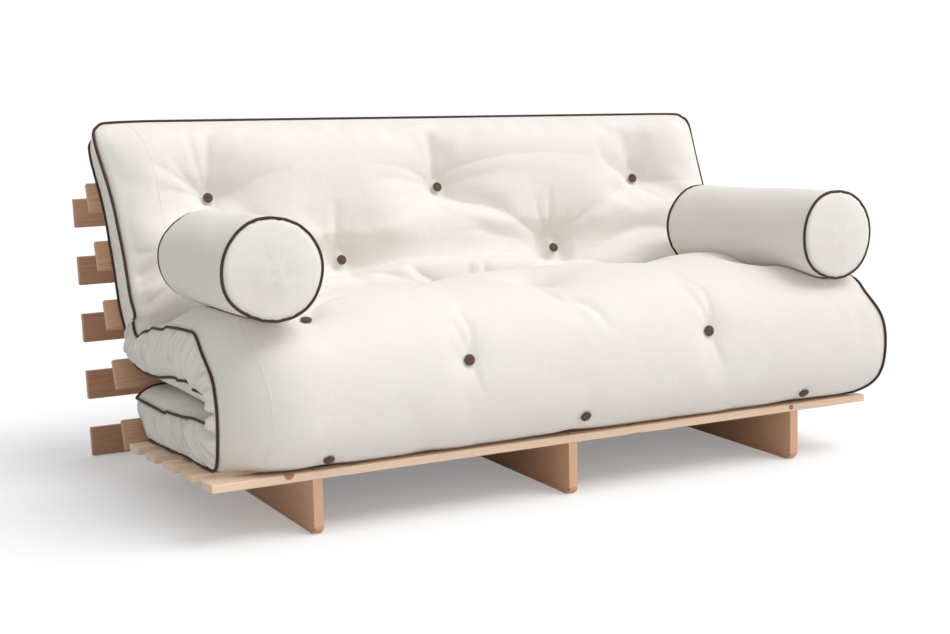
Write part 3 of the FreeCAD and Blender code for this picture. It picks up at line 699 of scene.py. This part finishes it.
def press_fold(grid_x, run, path, depth, width, held):
    """How far one fold presses each point in."""
    line = smooth(path, np.linspace(0, len(path) - 1, 10 * len(path)))
    margin = width * 5.5
    low, high = line.min(0) - margin, line.max(0) + margin
    rows = np.where((run > low[1]) & (run < high[1]))[0]
    if not len(rows):
        return np.zeros_like(grid_x)
    rows = slice(rows[0], rows[-1] + 1)
    x, y = grid_x[rows], np.broadcast_to(run[rows, None], grid_x[rows].shape)
    a, b = line[:-1], line[1:]
    edge = b - a
    length = np.linalg.norm(edge, axis=1)
    start = np.concatenate([[0], np.cumsum(length)])
    px, py = x[..., None] - a[:, 0], y[..., None] - a[:, 1]
    t = np.clip((px * edge[:, 0] + py * edge[:, 1]) / length**2, 0, 1)
    dx, dy = px - t * edge[:, 0], py - t * edge[:, 1]
    away = np.hypot(dx, dy)
    nearest = away.argmin(-1)[..., None]
    pick = lambda values: np.take_along_axis(values, nearest, -1)[..., 0]
    distance = pick(away)
    share = pick(start[:-1] + t * length) / start[-1]
    cross = pick(edge[:, 0] * py - edge[:, 1] * px)
    side = np.sign(cross) * distance / width
    taper = {
        "free": np.sin(np.pi * share) ** 0.7,
        "start": (1 - share) ** 0.8,
        "end": share ** 0.8,
        "both": 0.75 + 0.25 * np.cos(2 * np.pi * share),
    }[held]
    valley = (
        0.62 * np.exp(-1.15 * np.abs(side)) + 0.38 * np.exp(-(side / 2.2) ** 2)
        - 0.16 * np.exp(-((side - 3.0) / 1.4) ** 2)
    )
    pressed = np.zeros_like(grid_x)
    pressed[rows] = depth * taper * valley
    return pressed


def reach_tufts(path):
    """A fold's path with the ends that come near a tuft drawn to its middle."""
    path = [np.array(point) for point in path]
    for end in (0, -1):
        for group in TUFTS.values():
            for x, at, _, _ in group:
                if np.hypot(path[end][0] - x, path[end][1] - at) < TUFT_CATCH:
                    path[end] = np.array([x, at])
    return path


def press_folds(grid, normals, run):
    """Presses every fold in. Where folds meet they add up only in part, and none hides a button."""
    valleys, ridges = np.zeros(grid.shape[:2]), np.zeros(grid.shape[:2])
    folds = [
        (reach_tufts(path), FOLD_DEPTH * depth, width, held)
        for held, group in FOLDS.items() for path, depth, width in group
    ]
    for fold in folds + tuft_pleats():
        pressed = press_fold(grid[..., 0], run, *fold)
        valleys += np.maximum(pressed, 0) ** FOLD_SUM
        ridges = np.minimum(ridges, pressed)
    depth = valleys ** (1 / FOLD_SUM) + ridges
    for group in TUFTS.values():
        for x, at, _, _ in group:
            away = np.hypot(grid[..., 0] - x, run[:, None] - at)
            depth *= 1 - 0.95 * np.exp(-((away / FOLD_CLEAR) ** 2))
    return grid - normals * depth[..., None]


def tuft_pleats():
    """Short pleats that radiate from each button."""
    draw = np.random.default_rng(11)
    pleats, count = [], 9
    for group in TUFTS.values():
        for x, at, pull, reach in group:
            if pull <= 0.02:
                continue
            for k in range(count):
                angle = 2 * math.pi * (k + draw.uniform(-0.3, 0.3)) / count
                length = draw.uniform(0.45, 1.0) * reach * 1.25
                bend = angle + draw.uniform(-0.25, 0.25)
                aim = np.array([math.cos(angle), math.sin(angle)])
                far = np.array([math.cos(bend), math.sin(bend)])
                start = np.array([x, at])
                path = [start + aim * 0.012, start + aim * length * 0.5, start + far * length]
                depth, width = draw.uniform(0.0022, 0.0045), draw.uniform(0.005, 0.008)
                pleats.append((path, depth, width, "start"))
    return pleats


# Bolsters: the middles of the front and rear ends, the radius, how far the rear piping is drawn in
# as a share of it, and a seed for the cover's ripples. Ends and radii were fitted to the rings
# that the photo shows.

BOLSTERS = {
    "left": ((-0.706, -0.026, 0.577), (-0.682, 0.515, 0.552), 0.1087, 0.072, 3),
    "right": ((0.744, -0.024, 0.548), (0.706, 0.518, 0.532), 0.1075, 0.050, 5),
}


def rest_bolsters(grid):
    """Presses the face down where a bolster lies on it."""
    for front, rear, radius, _, _ in BOLSTERS.values():
        front, rear = np.array(front), np.array(rear)
        axis = unit(rear - front)
        offset = grid - front
        along = offset @ axis
        away = offset - along[..., None] * axis
        distance = np.linalg.norm(away, axis=-1)
        inside = (along > -0.006) & (along < np.linalg.norm(rear - front) + 0.006)
        clear = radius + BOLSTER_GAP
        press = np.where(inside & (distance < clear), clear - distance, 0)
        grid = grid + away / np.maximum(distance, 1e-6)[..., None] * press[..., None]
    return grid


def around(grid):
    """The border of a grid as one loop: top row, right column, last row, left column."""
    return np.concatenate([grid[0], grid[1:, -1], grid[-1, -2::-1], grid[-2:0:-1, 0]])


# Small steps in the piping at the left end: the station they are at and how far they step up.

STEPS = {
    "outer": [(8.6, 0.004), (10.2, -0.006), (12.45, 0.008), (13.3, 0.006), (24.43, 0.005)],
    "inner": [(11.7, 0.005), (14.6, -0.005), (16.45, -0.010), (24.8, -0.006)],
}


def step_border(grid, at, steps):
    """Kinks the left border where the cloth is gathered into the piping."""
    rise = np.zeros(len(at))
    for station, amount in steps:
        past = at - station
        rise += amount * ease(past / 0.07 + 0.5) * np.exp(-np.maximum(past, 0) / 0.7)
    share = np.exp(-((grid[..., 0] - grid[:, :1, 0]) / 0.018) ** 2)
    grid[..., 2] += rise[:, None] * share
    return grid


# Deep folds of the left end's band: the stations where they cross the outer and the inner border,
# the share of the way over that they start and stop, the depth and the half width.

SLITS = [
    (24.72, 23.65, 0.30, 1.20, 0.034, 0.0065), (23.95, 22.05, -0.1, 1.1, 0.014, 0.009),
    (13.95, 14.62, -0.2, 1.2, 0.018, 0.0065), (15.2, 15.6, -0.2, 1.2, 0.015, 0.007),
    (12.9, 12.4, 0.1, 1.2, 0.010, 0.007), (16.6, 16.9, 0.0, 1.1, 0.009, 0.007),
]


def band_grid(outer, inner, run, at, columns):
    """The side band between the borders of the two faces, bulging and pleated."""
    draw = np.random.default_rng(4)
    a, b = around(outer), around(inner)
    middle = (a + b) / 2
    along = unit(np.roll(middle, -2, 0) - np.roll(middle, 2, 0))
    outward = unit(np.cross(along, unit(b - a)))
    for _ in range(3):
        outward = unit(outward + np.roll(outward, 1, 0) + np.roll(outward, -1, 0))
    if outward[0][2] < 0:
        outward = -outward
    zone = np.concatenate([
        np.full(columns, run[0]), run[1:], np.full(columns - 1, run[-1]), run[-2:0:-1]
    ])
    loop = runs(np.vstack([middle, middle[:1]]))[:-1]
    left = np.arange(len(loop)) >= 2 * columns + len(run) - 2
    on_seat = ease((zone - 0.48) / 0.08)
    bulge = np.where(left, LEFT_BULGE, BACK_BULGE) * (1 - on_seat) + SEAT_BULGE * on_seat
    bulge *= 0.15 + 0.85 * ease((run[-1] - zone) / 0.12)
    h = np.linspace(0, 1, BAND_ROWS + 1)[None, :]
    arch = (4 * h * (1 - h)) ** 0.7
    creased = np.zeros((len(loop), BAND_ROWS + 1))
    place = 0.0
    while place < loop[-1]:
        lean, bow = draw.uniform(-0.012, 0.012), draw.uniform(-0.010, 0.010)
        width, depth = draw.uniform(0.005, 0.009), draw.uniform(0.35, 1.0)
        away = loop[:, None] - place - lean * (h - 0.5) - bow * arch
        creased += depth * (np.exp(-np.abs(away / width) ** 1.5)
                            - 0.35 * np.exp(-((np.abs(away) - 2 * width) / width) ** 2))
        place += draw.uniform(0.024, 0.056)
    grid = a[:, None] + (b - a)[:, None] * h[..., None]
    out = arch * (bulge[:, None] - creased * (BACK_PLEAT + SEAT_PLEAT * on_seat)[:, None])
    for low, high, start, stop, depth, width in SLITS:
        centre = np.interp(low + (high - low) * h, at, run)
        away = np.where(left[:, None], zone[:, None] - centre, 9.0)
        reach = np.clip((h - start) * (stop - h) * 4 / (stop - start) ** 2, 0, 1) ** 0.5
        out -= depth * reach * np.exp(-np.abs(away / width) ** 1.5)
    grid = grid + outward[:, None] * out[..., None]
    grid[:, 0], grid[:, -1] = a, b
    return np.concatenate([grid, grid[:1]])


def shift_home(points):
    return points + np.array([0, HOME, 0])


FACE_COLUMNS = 300
ROW_PITCHES = [(0, 0.0045), (0.55, 0.0045), (0.62, 0.0058), (1.45, 0.0058), (1.60, 0.0045),
               (1.90, 0.0045), (2.00, 0.0070)]


def face_runs():
    """Distances of the face's rows along it, closer together where the folds are fine."""
    at = np.linspace(0, FUTON_RUN, 2000)
    pitch = np.interp(at, *zip(*ROW_PITCHES))
    count = np.concatenate([[0], np.cumsum(2 * np.diff(at) / (pitch[1:] + pitch[:-1]))])
    return np.interp(np.linspace(0, count[-1], round(count[-1]) + 1), count, at)


# ---- Cloth simulation ----

SETTLE_GRID = (170, 130)
SETTLE_FRAMES = 20
SETTLE_PRESSURE, SETTLE_GROWTH, SETTLE_CAP = 2.5, 0.026, 0.020
PIN_REACH = 0.017  # round each button
SEAT_SWELL = 0.32  # the seat's cloth is pulled tighter than the back's


def settle(points, faces, pinned):
    """How far each point of a cover moves when its filling swells it, by cloth simulation."""
    scene = bpy.context.scene
    mesh = bpy.data.meshes.new("settling")
    mesh.from_pydata(points.tolist(), [], faces.tolist())
    piece = bpy.data.objects.new("settling", mesh)
    scene.collection.objects.link(piece)
    pins = piece.vertex_groups.new(name="pins")
    pins.add(np.flatnonzero(pinned).tolist(), 1.0, "REPLACE")
    cloth = piece.modifiers.new("cloth", "CLOTH")
    cloth.settings.vertex_group_mass = "pins"
    cloth.settings.quality = 5
    cloth.settings.mass = 0.2
    cloth.settings.bending_stiffness = 0.6
    cloth.settings.use_pressure = True
    cloth.settings.uniform_pressure_force = SETTLE_PRESSURE
    cloth.settings.shrink_min = -SETTLE_GROWTH
    cloth.settings.effector_weights.gravity = 0
    cloth.collision_settings.use_collision = False
    for number in range(1, SETTLE_FRAMES + 1):
        scene.frame_set(number)
    settled = piece.evaluated_get(bpy.context.evaluated_depsgraph_get())
    found = np.empty(len(points) * 3)
    settled.data.vertices.foreach_get("co", found)
    scene.frame_set(1)
    bpy.data.objects.remove(piece)
    bpy.data.meshes.remove(mesh)
    moved = found.reshape(-1, 3) - points
    length = np.linalg.norm(moved, axis=1, keepdims=True)
    capped = SETTLE_CAP * np.tanh(length / SETTLE_CAP)
    return moved * (capped / np.maximum(length, 1e-9))


def swell_face(run, at, across):
    """What the simulation adds to the outer face, as a grid like the face's own."""
    rows, columns = SETTLE_GRID
    coarse_run = np.linspace(0, FUTON_RUN, rows)
    coarse_at = np.interp(coarse_run, middle_run, fine_at)
    grid = face_grid(coarse_at, np.linspace(0, 1, columns)[None, :], True)
    grid = press_tufts(grid, grid_normals(grid), coarse_run)
    pinned = np.zeros((rows, columns), bool)
    pinned[:2] = pinned[-2:] = pinned[:, :2] = pinned[:, -2:] = True
    for group in TUFTS.values():
        for x, place, _, _ in group:
            pinned |= np.hypot(grid[..., 0] - x, coarse_run[:, None] - place) < PIN_REACH
    moved = settle(
        grid.reshape(-1, 3), grid_faces(rows, columns), pinned.ravel()
    ).reshape(grid.shape)
    for axis in (0, 1, 0, 1):
        ahead, behind = (np.roll(moved, step, axis) for step in (1, -1))
        moved = np.where(pinned[..., None], moved, (2 * moved + ahead + behind) / 4)
    moved = smooth(moved, np.interp(run, coarse_run, np.arange(rows)))
    moved = smooth(moved.transpose(1, 0, 2), across[0] * (columns - 1)).transpose(1, 0, 2)
    return moved * (1 - (1 - SEAT_SWELL) * ease((run - 0.55) / 0.15))[:, None, None]


def make_futon():
    run = face_runs()
    at = np.interp(run, middle_run, fine_at)
    across = np.linspace(0, 1, FACE_COLUMNS)[None, :]
    outer, inner = (
        round_corners(step_border(face_grid(at, across, name == "outer"), at, STEPS[name]), BACK_UP)
        for name in ("outer", "inner")
    )
    normals = grid_normals(outer)
    base = outer.copy()
    rows, columns = np.arange(len(run)), np.arange(FACE_COLUMNS)
    edge = np.minimum(np.minimum(rows, rows[::-1])[:, None], np.minimum(columns, columns[::-1]))
    border = ease(edge / 5)
    outer = press_tufts(outer, normals, run) + swell_face(run, at, across)
    outer = press_folds(outer, normals, run)
    outer = rest_bolsters(outer)
    outer = base + (outer - base) * border[..., None]
    outer, inner = shift_home(outer), shift_home(inner)
    band = band_grid(outer, inner, run, at, FACE_COLUMNS)
    cloth_face = np.stack(np.broadcast_arrays(outer[..., 0], run[:, None]), -1)
    loop = runs(band[:, 0])
    cloth_band = np.stack(
        np.broadcast_arrays(loop[:, None], np.linspace(0, 0.11, BAND_ROWS + 1)[None, :]), -1
    )
    points, faces, cloth = weld(
        [outer, inner, band], [False, True, False], [cloth_face, cloth_face, cloth_band]
    )
    futon = make_mesh("futon", points, faces, cloth)
    return futon, outer, inner, run


make_camera()
make_studio()

COTTON, COTTON_SHADE = (0.90, 0.860, 0.806), (0.88, 0.835, 0.770)
BROWN, BROWN_SHADE = (0.062, 0.036, 0.029), (0.085, 0.052, 0.042)
cotton = cloth_material("cotton", COTTON, COTTON_SHADE, 0.25, (1.0, 0.97, 0.92))
brown_cord = cloth_material("brown_piping", BROWN, BROWN_SHADE, 0.25, (0.5, 0.4, 0.35), 0.0007)
brown_button = cloth_material("brown_button", (0.12, 0.072, 0.056), (0.10, 0.06, 0.046), 0.3,
                              (0.6, 0.5, 0.45), 0.0008)

futon, face, inner_face, face_run = make_futon()
finish_piece(
    futon, cotton, "cotton",
    *(f"futon_{layer}_{part}" for layer in ("back", "seat", "under")
      for part in ("cover", "filling", "threads")),
)

face_normals = grid_normals(face)


def on_face(x, run):
    """Point and normal of the outer face at x and at a run from the top."""
    row = np.interp(run, face_run, np.arange(len(face_run)))
    i = int(min(row, len(face_run) - 2))
    column = np.interp(x, face[i, :, 0], np.arange(face.shape[1]))
    j = int(min(column, face.shape[1] - 2))
    f, g = row - i, column - j

    def between(grid):
        near, far = (grid[k, j] * (1 - g) + grid[k, j + 1] * g for k in (i, i + 1))
        return near * (1 - f) + far * f

    return between(face), unit(between(face_normals))


PIPING_RADIUS = 0.0034


def make_piping():
    """The piped seams: one loop round each face of the futon."""
    cords = []
    for name, grid, lift in (("outer", face, 0.0015), ("inner", inner_face, -0.0015)):
        sideways = np.zeros(grid.shape)
        sideways[:, 0, 0], sideways[:, -1, 0] = -0.0025, 0.0025
        line = around(grid + grid_normals(grid) * lift + sideways)
        line = relax(line)
        cords.append(tube(f"futon_piping_{name}", line, PIPING_RADIUS, closed=True, sides=8))
    piping = join("futon_piping", cords)
    return finish_piece(piping, brown_cord, "piping", "futon_back_piping", "futon_seat_piping",
                        "futon_under_piping")


piping = make_piping()

BUTTON_RADIUS = 0.0125


def make_button(name, place, normal):
    """A domed, fabric-covered button with a rolled rim, seen from the side as (radius, height)."""
    profile = [(0, 0.0036), (0.3, 0.0035), (0.62, 0.0031), (0.80, 0.0027), (0.92, 0.0024),
               (1.0, 0.0009), (0.98, -0.0012), (0.80, -0.0026), (0, -0.0028)]
    share, height = smooth(profile, np.linspace(0, len(profile) - 1, 25)).T[..., None]
    sides = 28
    turn = np.array(Vector(normal).to_track_quat("Z", "Y").to_matrix())
    angle = 2 * math.pi * (np.arange(sides + 1) % sides) / sides
    reach = np.maximum(share, 0) * BUTTON_RADIUS
    local = [reach * np.cos(angle), reach * np.sin(angle), height + 0 * angle]
    grid = np.stack(local, -1) @ turn.T + place
    points, faces, corners = weld([grid], [True], [grid[..., :2] - place[:2]])
    return make_mesh(name, points, faces, corners)


for layer, group in TUFTS.items():
    made = []
    for number, (x, at, _, _) in enumerate(group):
        place, normal = on_face(x, at)
        made.append(make_button(f"button_{layer}_{number}", place + normal * 0.004, normal))
    buttons = join(f"futon_{layer}_tuft_buttons", made)
    finish_piece(buttons, brown_button, "button", f"futon_{layer}_buttons")
    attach(buttons, "back_frame" if layer == "back" else "seat_frame")

# The seam between two widths of cloth, as (x, run), read off the photo in the same way.

SEAM = [(-0.756, 0.01), (-0.735, 0.08), (-0.722, 0.15), (-0.718, 0.24), (-0.720, 0.40),
        (-0.725, 0.60), (-0.730, 0.85), (-0.732, 1.05), (-0.742, 1.19), (-0.728, 1.30),
        (-0.722, 1.37), (-0.724, 1.45), (-0.738, 1.53), (-0.745, 1.70)]


def make_seam():
    """The seam between two widths of the face's cloth, a low ridge."""
    path = smooth(SEAM, np.linspace(0, len(SEAM) - 1, 260))
    line = []
    for x, at in path:
        place, normal = on_face(x, at)
        line.append(place - normal * 0.0004)
    return tube("futon_face_seam", line, 0.0013, sides=6)


seam = finish_piece(make_seam(), cotton, "cotton")


# ---- Bolsters ----

DOME_DEPTH, DOME_SHARE = 0.011, 0.985  # how far the ends bulge, and how near the ring they reach
FRONT_DRAW, DRAW_REACH = 0.028, 0.03


def make_bolster(side, front, rear, radius, rear_draw, seed):
    """A bolster from its front end's middle to its rear end's, piped at both ends."""
    draw = np.random.default_rng(seed)
    front, rear = np.array(front, float), np.array(rear, float)
    axis = unit(rear - front)
    length = np.linalg.norm(rear - front)
    level = unit(np.cross(axis, (0, 0, 1.0)))
    up = np.cross(level, axis)
    sides, rings, domes = 112, 74, 14
    angle = np.linspace(0, 2 * math.pi, sides + 1)
    angle[-1] = 0
    outline = np.ones(sides + 1)
    for turns in (2, 3, 5, 7):
        outline += draw.uniform(0.002, 0.006) * np.sin(turns * angle + draw.uniform(0, 6.3))
    dome = np.arange(domes) / domes
    sunk = DOME_DEPTH * np.cos(dome * math.pi / 2) ** 0.8
    share = np.linspace(0, 1, rings + 1)
    near = np.minimum(share, 1 - share) * length
    drawn_in = np.where(share < 0.5, FRONT_DRAW, rear_draw)
    barrel = 1 - drawn_in * (1 - np.minimum(1, near / DRAW_REACH) ** 0.5)
    edge = 0.004
    radii = np.concatenate([dome * DOME_SHARE, barrel, dome[::-1] * DOME_SHARE])
    depths = np.concatenate([-sunk, edge + share * (length - 2 * edge), length + sunk[::-1]])
    from_end = np.minimum(np.abs(depths - edge), np.abs(length - edge - depths))
    body = (depths > edge - 1e-6) & (depths < length - edge + 1e-6)
    gather = np.zeros((len(radii), sides + 1))
    for turns, amount in ((23, 0.0010), (37, 0.0008), (51, 0.0005)):
        phase = draw.uniform(0, 6.3)
        sway = 0.5 * np.sin(angle * 3 + draw.uniform(0, 6.3))
        gather += amount * np.sin(turns * angle + phase + 2 * sway)[None, :] * np.exp(
            -((from_end[:, None] / 0.022) ** 1.3)
        )
    patch = 0.5 + 0.5 * np.sin(angle * 2 + draw.uniform(0, 6.3))
    gather *= patch[None, :] * np.where(body, 1.0, 0.6)[:, None]
    ripple = 0.0012 * np.sin(angle[None, :] * 4 + depths[:, None] * 17 + draw.uniform(0, 6.3))
    ripple *= np.where(body, 1.0, 0.0)[:, None]
    r = radius * radii[:, None] * outline[None, :] + gather + ripple
    ring = np.cos(angle)[None, :, None] * level + np.sin(angle)[None, :, None] * up
    sag = np.clip(-np.sin(angle), 0, 1) ** 3 * 0.002
    grid = front + axis * depths[:, None, None] + ring * r[..., None]
    grid += up * (sag[None, :] * (radii[:, None] > 0.5))[..., None]
    cloth = np.stack(np.broadcast_arrays(
        angle[None, :] * radius, (depths + np.where(body, 0, (1 - radii) * radius))[:, None]
    ), -1).copy()
    cloth[:, -1, 0] = 2 * math.pi * radius
    points, faces, corners = weld([grid], [False], [cloth])
    cover = make_mesh(f"bolster_{side}_cushion", points, faces, corners)
    finish_piece(cover, cotton, "cotton", f"bolster_{side}_cover", f"bolster_{side}_filling")
    cords = []
    for name, row in (("front", domes), ("rear", domes + rings)):
        line = grid[row, :-1] + ring[0, :-1] * 0.0022
        for _ in range(3):
            line = relax(line)
        cords.append(tube(f"bolster_{side}_cord_{name}", line, PIPING_RADIUS, True, 8))
    cord = join(f"bolster_{side}_cord", cords)
    finish_piece(cord, brown_cord, "piping", f"bolster_{side}_piping")
    for piece in (cover, cord):
        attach(piece, f"bolster_{side}")


for side, (front, rear, *build) in BOLSTERS.items():
    make_bolster(side, shift_home(np.array(front)), shift_home(np.array(rear)), *build)

for piece in (futon, piping, seam):
    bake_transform(piece)


# ---- Frame ----

draw = np.random.default_rng(21)
# Painted light and shade, one tint for each section of the frame: the front seat slats lighter and
# paler as if lit; the seat's boards, the back slats and the rear slats darker and redder as if in
# shade.
SECTION_LIGHT_AND_SHADE = {
    "seat_slat": (1.09, 1.12, 1.22), "seat_board": (0.93, 0.78, 0.75),
    "back": (0.79, 0.65, 0.60), "rear": (0.68, 0.55, 0.51),
}
KNOTS = {  # x, y, z and radius
    "seat_slat_1": [(-0.680, 0.0, 0.141, 0.013), (0.624, 0.0, 0.132, 0.007)],
    "seat_board_left": [(-0.636, 0.119, 0.062, 0.007), (-0.636, 0.101, 0.020, 0.006)],
    "seat_slat_3": [(0.31, 0.22, 0.135, 0.009)],
    "back_slat_2": [(-0.44, 0.70, 0.30, 0.010)],
    "rear_slat_4": [(0.52, 0.93, 0.42, 0.011)],
}
SECTION_TILTS = {"seat": -0.0545, "back": BACK_ANGLE, "rear": math.radians(-94.1)}
for name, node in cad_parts.items():
    if node.hide_render:
        continue
    section = name.split("_")[0]
    if "slat" in name or "board" in name:
        low, high = (np.array(corner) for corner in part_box(name))
        middle = (low + high) / 2
        along = 0 if "slat" in name else 1
        pith = (draw.uniform(-0.05, 0.05), draw.uniform(0.03, 0.10) * draw.choice([-1, 1]))
        # Each board's tone is its section's painted light or shade, times a small random tone of its
        # own.
        painted_light_and_shade = next(tone for part, tone in SECTION_LIGHT_AND_SHADE.items() if name.startswith(part))
        tone = np.array(painted_light_and_shade) * draw.uniform(0.95, 1.04)
        material = pine_material(
            f"pine_{name}", middle, SECTION_TILTS[section], along, pith, tone,
            [((x, y + HOME, z), size) for x, y, z, size in KNOTS.get(name, ())],
        )
    elif "screws" in name:
        material = steel_material(f"steel_{name}", (0.60, 0.57, 0.50), 0.35)
    else:
        material = steel_material(f"steel_{name}", (0.62, 0.62, 0.63), 0.32)
    node.data.materials.clear()
    node.data.materials.append(material)

# ---- Floor ----

FLOOR_GLOW = 0.24  # keeps the shade on the floor light, and lights nothing
floor_paint = Paint("floor", roughness=0.9)
floor_paint.set("Base Color", (0.72, 0.72, 0.72))
floor_paint.set("Emission Color", (0.97, 0.99, 1.0))
seen = floor_paint.node("LightPath")
floor_paint.set("Emission Strength", floor_paint.math("MULTIPLY", seen, FLOOR_GLOW))
floor = make_mesh("floor", [(-60, -60, 0), (60, -60, 0), (60, 60, 0), (-60, 60, 0)], [(0, 1, 2, 3)])
floor.data.materials.append(floor_paint.material)
